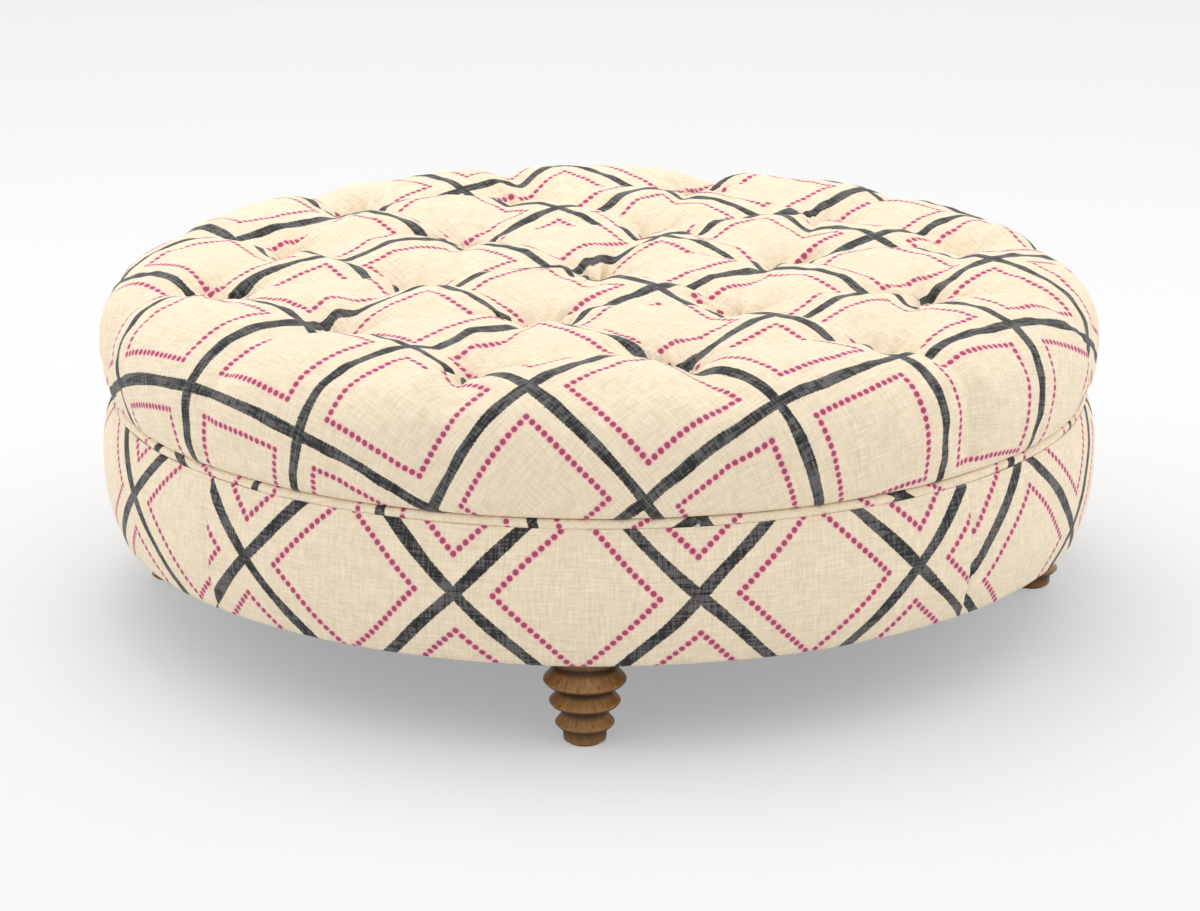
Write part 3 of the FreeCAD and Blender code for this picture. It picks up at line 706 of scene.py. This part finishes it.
welt = {
    "radius": 0.0071, "circle": frameReach + 0.0143, "level": seatFoot - 0.0071, "steps": 720,
    "flangeTop": 0.0001, "flangeFoot": 0.0009, "arc": (-200, 70), "arcPoints": 26, "back": 0.9,
    "backFade": 0.004, "wobble": 0.0005, "wobbleSize": 0.11, "gather": 0.0005, "gathers": 330,
    "gatherSlant": 200, "gatherDrift": 2, "driftSize": 0.09, "even": 0.6, "uneven": 0.4,
    "unevenSize": 0.07}


# The panel's section: in under the drum, up over the bulge, round the welt's cord and in under the seat
def panelLine():
    corner = panels["corner"]
    lowRadius, lowHeight = baseReach - panels["footIn"], baseFoot + corner
    highRadius, highHeight = welt["circle"] + panels["besideCord"], welt["level"] - panels["belowCord"]
    line = [(turnIn, baseFoot), (lowRadius - panels["cornerStart"], baseFoot)]
    for degrees in range(0, 91, 15):
        angle = math.radians(degrees)
        line.append((lowRadius - corner + corner * math.sin(angle),
                     baseFoot + corner * (1 - math.cos(angle))))
    bulge = baseReach - (lowRadius + highRadius) / 2
    for share in np.linspace(0, 1, 40)[1:]:
        out = bulge * (1 - abs(2 * share - 1) ** panels["fullness"])
        line.append((lowRadius + (highRadius - lowRadius) * share + out,
                     lowHeight + (highHeight - lowHeight) * share))
    around = panels["roundCord"]
    for degrees in range(-20, -161, -14):
        angle = math.radians(degrees)
        line.append((welt["circle"] + around * math.cos(angle), welt["level"] + around * math.sin(angle)))
    line += [(welt["circle"] - panels["besideCord"], baseTop - panels["headRise"]),
             (welt["circle"] - panels["behindCord"], baseTop), (turnIn, baseTop)]
    return evenly(line, panels["spacing"])


def makePanel(side, middle, seed):
    line = panelLine()
    piece = spun(line, panels["steps"], sweep=90, middle=middle)
    reach, _ = alongPath(piece, line)
    _, turn, height = polar(piece)
    fromMiddle = (turn - math.radians(middle) + math.pi) % (2 * math.pi) - math.pi
    arc = fromMiddle * baseReach
    keepCut(piece, arc, reach)
    seam = (math.pi / 4 - np.abs(fromMiddle)) * baseReach
    fromHead = baseTop - panels["cordDrop"] - height
    seen = np.clip((height - baseFoot) / panels["calmAtFoot"], 0, 1)
    seen *= np.clip(fromHead / panels["calmAtHead"], 0, 1)
    sunk = panels["seamDip"] * np.exp(-(seam / panels["seamWidth"]) ** 2)
    phase = lumps(np.zeros(len(height)), height, panels["puckerSize"], seed=69)
    puckers = np.exp(-seam / panels["puckerReach"]) * np.sin(height * panels["puckers"] + phase)
    sunk += panels["pucker"] * puckers
    nearHead = np.exp(-(fromHead / panels["headZone"]) ** 2)
    broad = lumps(arc, height * panels["broadRise"], panels["broadSize"], seed + 1)
    short = lumps(arc * panels["shortRun"], height * panels["shortRise"], panels["shortSize"], seed + 2)
    ripples = panels["broad"] * broad + panels["short"] * nearHead * short
    sunk += panels["ripple"] * ripples * np.clip(seam / panels["calmBySeam"], 0, 1)
    sunk = np.maximum(sunk * seen, 0) + panels["clearance"]
    places = points(piece)
    places[:, 0] -= sunk * np.cos(turn)
    places[:, 1] -= sunk * np.sin(turn)
    movePoints(piece, places)
    applied(piece, "SOLIDIFY", thickness=panels["thick"], offset=-1)
    smooth(piece)
    name = side.lower()
    finishPiece(piece, "basePanel" + side, panelCloths[side], "printed_linen", "base_panel_" + name)


# Rolled edge: cord in a bias strip, with its flange between the base and the seat
def makeWelt():
    line = [(turnIn, seatFoot - welt["flangeTop"]), (turnIn, seatFoot - welt["flangeFoot"])]
    for degrees in np.linspace(*welt["arc"], welt["arcPoints"]):
        angle = math.radians(degrees)
        line.append((welt["circle"] + welt["radius"] * math.cos(angle),
                     welt["level"] + welt["radius"] * math.sin(angle)))
    piece = spun(line, welt["steps"], closed=True)
    reach, _ = alongPath(piece, line)
    radius, turn, height = polar(piece)
    around = baseReach + reach
    keepCut(piece, around * np.cos(turn), around * np.sin(turn))
    back = welt["circle"] - welt["radius"] * welt["back"]
    cord = np.clip((radius - back) / welt["backFade"], 0, 1)
    x, y = np.cos(turn) * baseReach, np.sin(turn) * baseReach
    wobble = welt["wobble"] * lumps(x, y, welt["wobbleSize"], seed=41) * cord
    drift = welt["gatherDrift"] * lumps(x, y, welt["driftSize"], seed=42)
    gather = welt["gather"] * np.sin(turn * welt["gathers"] + reach * welt["gatherSlant"] + drift)
    gather *= welt["even"] + welt["uneven"] * lumps(x, y, welt["unevenSize"], seed=43)
    swell = (gather - welt["gather"]) * cord
    outX = (radius - welt["circle"]) / welt["radius"]
    outZ = (height - welt["level"]) / welt["radius"]
    places = points(piece)
    places[:, 0] += (swell * outX + wobble) * np.cos(turn)
    places[:, 1] += (swell * outX + wobble) * np.sin(turn)
    places[:, 2] += swell * outZ
    movePoints(piece, places)
    smooth(piece)
    finishPiece(piece, "edgeWelt", weltCloth, "printed_linen", "edge_welt")


# Turned legs: three dished rings over a plain foot, their undercuts darkened by painted shade and partly by
# dark stain, and a collar under the drum.
# Each ring has its rim's radius and height, then those of the neck above it.
legs = {
    "steps": 64, "foot": 0.0237, "footBevel": 0.0015, "footBend": 0.0004, "ankle": 0.0248,
    "ankleHeight": 0.0175, "lip": 0.0021, "lipDepth": 2.2, "lipLevel": 0.4, "throat": (0.0012, 0.0004),
    "hollow": (0.0052, 0.0006), "underLip": 0.0026, "dish": 0.0010, "undercut": 0.0022, "undercutIn": 0.0008,
    "rings": ((0.0329, 0.0236, 0.0228, 0.0396), (0.0396, 0.0489, 0.0275, 0.0650),
              (0.0461, 0.0742, 0.0325, 0.0925)),
    "collar": 0.038, "collarHeight": 0.0095, "collarBevel": 0.0009, "grain": 0.03, "stainAndShadeWidth": 0.0058,
    "stainAndShadeDrop": 0.001, "shadeDrop": 0.0012, "shadeFade": 0.002, "shadeEnd": 0.0075}


def legLine():
    foot, bevel, bend, lip = legs["foot"], legs["footBevel"], legs["footBend"], legs["lip"]
    line = [(0, legFoot), (foot - bevel, legFoot), (foot - bend, legFoot + bend), (foot, legFoot + bevel),
            (legs["ankle"], legs["ankleHeight"])]
    for rim, rimHeight, neck, neckHeight in legs["rings"]:
        under = rimHeight - legs["lipDepth"] * lip
        line += [(line[-1][0] + legs["throat"][0], under + legs["throat"][1]),
                 (rim - legs["hollow"][0], under - legs["hollow"][1]), (rim - legs["underLip"], under)]
        lipMiddle = rimHeight - legs["lipLevel"] * lip
        for degrees in range(-60, 46, 15):
            angle = math.radians(degrees)
            line.append((rim - lip + lip * math.cos(angle), lipMiddle + lip * math.sin(angle)))
        lastRadius, lastHeight = line[-1]
        for share in np.linspace(0, 1, 9)[1:]:
            dish = legs["dish"] * math.sin(math.pi * share)
            across = lastRadius + (neck - lastRadius) * share - dish
            line.append((across, lastHeight + (neckHeight - lastHeight) * share))
        line.append((neck - legs["undercutIn"], neckHeight + legs["undercut"]))
    collar, low, bevel = legs["collar"], legTop - legs["collarHeight"], legs["collarBevel"]
    line += [(collar - bevel, low), (collar, low + bevel), (collar, legTop), (0, legTop)]
    return line


def makeLegs():
    blank = spun(legLine(), legs["steps"])
    _, turn, height = polar(blank)
    shade = np.zeros(len(height))
    # Groove mask: a band above each neck, darkened partly by dark stain and partly by painted shade, and
    # painted shade under each rim
    for _, rimHeight, _, neckHeight in legs["rings"]:
        aboveNeck = height - neckHeight + legs["stainAndShadeDrop"]
        shade = np.maximum(shade, np.exp(-(aboveNeck / legs["stainAndShadeWidth"]) ** 4))
        under = np.clip((rimHeight - legs["shadeDrop"] - height) / legs["shadeFade"], 0, 1)
        shade = np.maximum(shade, under * (height > rimHeight - legs["shadeEnd"]))
    keepMask(blank, "groove", shade)
    keepCut(blank, legs["grain"] * np.cos(turn), legs["grain"] * np.sin(turn))
    smooth(blank, 35)
    turned = points(blank)
    for side, (x, y) in legCentres.items():
        selectOnly(blank)
        bpy.ops.object.duplicate(linked=False)
        leg = bpy.context.object
        movePoints(leg, turned + np.array([x, y, 0]))
        finishPiece(leg, "leg" + side, hardwood, "leg_wood", "legs")
    bpy.data.objects.remove(blank)


# Padding round the drum, hidden under the panels and grooved where their seams dip
padding = {"inner": frameReach + 0.0044, "under": 0.0022, "footRise": 0.001, "headDrop": 0.0005,
           "edge": 0.004, "still": 0.006, "steps": 360, "lump": 0.0008, "lumpSize": 0.09, "groove": 0.0028,
           "grooveWidth": 0.008}


def makePadding():
    inner = padding["inner"]
    low, high = paddingLow.z + padding["footRise"], paddingHigh.z - padding["headDrop"]
    loop = [(inner, low - padding["footRise"])]
    for radius, height in panelLine():
        if radius > inner + padding["edge"] and low < height < high:
            loop.append((radius - padding["under"], height))
    loop.append((inner, high))
    piece = spun(loop, padding["steps"], closed=True)
    radius, turn, _ = polar(piece)
    places = points(piece)
    seam = np.abs(turn % (math.pi / 2) - math.pi / 4) * baseReach
    inwards = padding["lump"] * (1 + lumps(places[:, 0], places[:, 1], padding["lumpSize"], seed=51))
    inwards += padding["groove"] * np.exp(-(seam / padding["grooveWidth"]) ** 2)
    inwards *= radius > inner + padding["still"]
    places[:, 0] -= inwards * np.cos(turn)
    places[:, 1] -= inwards * np.sin(turn)
    movePoints(piece, places)
    smooth(piece)
    finishPiece(piece, "basePadding", wadding, "wadding", "base_padding")


# Round holes through a piece, all cut at once
def punched(piece, places, radius, level, depth):
    bpy.ops.mesh.primitive_cylinder_add(vertices=20, radius=radius, depth=depth, location=(0, 0, level))
    punch = bpy.context.object
    bpy.ops.object.transform_apply(location=True)
    one = points(punch)
    for x, y in places:
        selectOnly(punch)
        bpy.ops.object.duplicate(linked=False)
        movePoints(bpy.context.object, one + np.array([x, y, 0]))
        bpy.context.object["hole"] = True
    bpy.data.objects.remove(punch)
    holes = [other for other in bpy.data.objects if "hole" in other]
    selectOnly(holes[0])
    for hole in holes:
        hole.select_set(True)
    bpy.ops.object.join()
    tool = bpy.context.object
    applied(piece, "BOOLEAN", object=tool, operation="DIFFERENCE", solver="EXACT")
    bpy.data.objects.remove(tool)


# Foam on the deck, with a bevelled upper edge and a hole at each tuft
slab = {"slack": 0.0006, "bendPower": 1.25, "bendPoints": 8, "pole": 0.02, "spacing": 0.05, "steps": 144,
        "hole": 0.0102, "punch": 0.12}


def makeFoam():
    side, bevel, slack = foamHigh.x - slab["slack"], foamBevel, slab["slack"]
    bend = fullQuarter((foamHigh.x - bevel, foamHigh.z - bevel), bevel - slack, bevel - slack,
                       slab["bendPower"], slab["bendPoints"])
    line = [(0, foamLow.z)] + evenly([(slab["pole"], foamLow.z), (side, foamLow.z)], slab["spacing"])
    line += [(side, foamHigh.z - bevel)] + bend[1:]
    line += evenly([bend[-1], (0, bend[-1][1])], slab["spacing"])[1:]
    piece = spun(line, slab["steps"])
    punched(piece, tufts, slab["hole"], (foamLow.z + foamHigh.z) / 2, slab["punch"])
    smooth(piece, 35)
    finishPiece(piece, "foamSlab", foam, "foam", "seat_foam")


# Dust cloth under the drum, and the staples that hold its edge
dust = {"thick": 0.0008, "edge": 0.0002, "rise": 0.0001, "spacing": 0.02, "steps": 180, "sagSize": 0.22,
        "boltHole": 0.0043, "punch": 0.02}
staples = {"count": 88, "inset": 0.009, "size": (0.0007, 0.0095, 0.0012), "drop": 0.0001, "bevel": 0.00025}


def makeDustCover():
    level = underside + dust["rise"]
    line = evenly([(frameReach - dust["edge"], level), (0, level)], dust["spacing"])
    piece = spun(line[::-1], dust["steps"])
    places = points(piece)
    slack = 1 - (np.hypot(places[:, 0], places[:, 1]) / frameReach) ** 2
    places[:, 2] += dust["rise"] * slack * (1 + lumps(places[:, 0], places[:, 1], dust["sagSize"], seed=61))
    movePoints(piece, places)
    applied(piece, "SOLIDIFY", thickness=dust["thick"], offset=0)
    edit(piece, faceOutwards)
    punched(piece, legCentres.values(), dust["boltHole"], underside, dust["punch"])
    movePoints(piece, points(piece) + np.array([0, 0, underside - points(piece)[:, 2].min()]))
    finishPiece(piece, "dustCover", dustCloth, "dust_cloth", "dust_cover")


def makeStaples():
    bpy.ops.mesh.primitive_cube_add(size=1)
    piece = bpy.context.object
    middle = np.array([frameReach - staples["inset"], 0, underside - staples["drop"]])
    movePoints(piece, points(piece) * np.array(staples["size"]) + middle)
    applied(piece, "BEVEL", width=staples["bevel"], segments=2)
    others = staples["count"] - 1
    turn = 2 * math.pi / staples["count"]
    edit(piece, lambda: spinRound(others, turn * others, dupli=True))
    smooth(piece)
    finishPiece(piece, "dustStaples", zinc, "zinc_steel")


def dressFrame():
    finishes = {"foot_ring": plywood, "head_ring": plywood, "deck_board": plywood, "leg_pad": plywood,
                "post": softwood, "wall_sheet": hardboard, "hanger_bolts": zinc, "tee_nuts": zinc,
                "frame_screws": zinc, "deck_screws": zinc, "tuft_twines": twine, "tuft_washers": nylon,
                "glides": nylon}
    for name, node in frame["nodes"].items():
        for start, finish in finishes.items():
            if name.startswith(start):
                node.data.materials.clear()
                node.data.materials.append(finish)


# Pale floor, clear from below, with soft light and the camera at the photograph's angle
studio = {
    "floor": 60.0, "floorColour": (0.84, 0.84, 0.845, 1), "seenGrey": (0.50, 0.50, 0.502, 1),
    "mottle": 0.99, "mottleScale": 3.0, "lift": 0.34, "farLift": 0.3, "farFrom": 5.0, "farTo": 14.0,
    "camera": (0.118, -4.057, 1.411), "aim": (0.0011, 0.0, 0.1633), "lens": 102.5, "sensor": 36.0,
    "low": 0.62, "overhead": 0.56, "sides": 0.55, "sidePower": 4.0, "lampAim": (0, 0, 0.25)}
# Each lamp's place, size and watts
lamps = {
    "above": ((-0.5, 0.9, 3.4), 1.6, 26.0),
    "right": ((3.4, 0.9, 1.5), 1.4, 12.0),
    "left": ((-3.4, 0.7, 1.4), 1.4, 10.0)}


def makeFloor():
    bpy.ops.mesh.primitive_plane_add(size=studio["floor"])
    floor = bpy.context.object
    floor.name = "floor"
    made, tree, shader = material("paleFloor")
    where = put(tree, "ShaderNodeTexCoord").outputs["Object"]
    seen = put(tree, "ShaderNodeLightPath").outputs["Is Camera Ray"]
    distance = put(tree, "ShaderNodeVectorMath", {0: where}, operation="LENGTH").outputs["Value"]
    far = put(tree, "ShaderNodeMapRange", {
        "Value": distance, "From Min": studio["farFrom"], "From Max": studio["farTo"], "To Min": 0.0,
        "To Max": studio["farLift"]}).outputs[0]
    mottle = noise(tree, where, studio["mottleScale"])
    duller = tuple(studio["mottle"] * part for part in studio["seenGrey"])
    seenGrey = blended(tree, mottle, studio["seenGrey"], duller)
    tree.links.new(blended(tree, seen, studio["floorColour"], seenGrey), shader["Base Color"])
    shader["Emission Color"].default_value = (1, 1, 1, 1)
    glow = worked(tree, "MULTIPLY", seen, worked(tree, "ADD", far, studio["lift"]))
    tree.links.new(glow, shader["Emission Strength"])
    shader["Roughness"].default_value = 1.0
    shader["Specular IOR Level"].default_value = 0.0
    behind = put(tree, "ShaderNodeNewGeometry").outputs["Backfacing"]
    clear = put(tree, "ShaderNodeBsdfTransparent").outputs[0]
    surface = tree.nodes["Principled BSDF"].outputs[0]
    fromBelow = worked(tree, "MULTIPLY", seen, behind)
    shown = put(tree, "ShaderNodeMixShader", {0: fromBelow, 1: surface, 2: clear})
    tree.links.new(shown.outputs[0], tree.nodes["Material Output"].inputs["Surface"])
    floor.data.materials.append(made)


def aimed(piece, spot, target):
    look = Vector(target) - Vector(spot)
    piece.rotation_euler = look.to_track_quat("-Z", "Y").to_euler()


# The sky is brighter overhead and at the sides, but plain white to the camera and in reflections
def makeLight():
    world = bpy.data.worlds.new("softWorld")
    bpy.context.scene.world = world
    world.use_nodes = True
    tree = world.node_tree
    path = put(tree, "ShaderNodeLightPath").outputs
    toSky = put(tree, "ShaderNodeTexCoord").outputs["Generated"]
    sky = put(tree, "ShaderNodeSeparateXYZ", {0: toSky}).outputs
    up = worked(tree, "MAXIMUM", sky[2], 0.0)
    side = worked(tree, "POWER", worked(tree, "ABSOLUTE", sky[0]), studio["sidePower"])
    glow = worked(tree, "MULTIPLY_ADD", up, studio["overhead"], studio["low"])
    glow = worked(tree, "MULTIPLY_ADD", side, studio["sides"], glow)
    seen = worked(tree, "MAXIMUM", path["Is Camera Ray"], path["Is Glossy Ray"])
    strength = put(tree, "ShaderNodeMix", {0: seen, 2: glow, 3: 1.0}).outputs[0]
    tree.links.new(strength, tree.nodes["Background"].inputs["Strength"])
    tree.nodes["Background"].inputs["Color"].default_value = (1, 1, 1, 1)
    for name, (spot, size, watts) in lamps.items():
        bpy.ops.object.light_add(type="AREA", location=spot)
        lamp = bpy.context.object
        lamp.name = name + "Lamp"
        lamp.data.size, lamp.data.energy = size, watts
        aimed(lamp, spot, studio["lampAim"])


def makeCamera():
    bpy.ops.object.camera_add(location=studio["camera"])
    camera = bpy.context.object
    aimed(camera, studio["camera"], studio["aim"])
    camera.data.lens, camera.data.sensor_width = studio["lens"], studio["sensor"]
    bpy.context.scene.camera = camera


makeCamera()
makeLight()
makeFloor()
dressFrame()
makeStaples()
makeDustCover()
makeFoam()
makeLegs()
makePadding()
for seed, (side, middle) in enumerate(compass.items(), start=70):
    makePanel(side, middle, seed)
makeWelt()
makeSeatCover()
bpy.context.scene.view_settings.view_transform = "Standard"
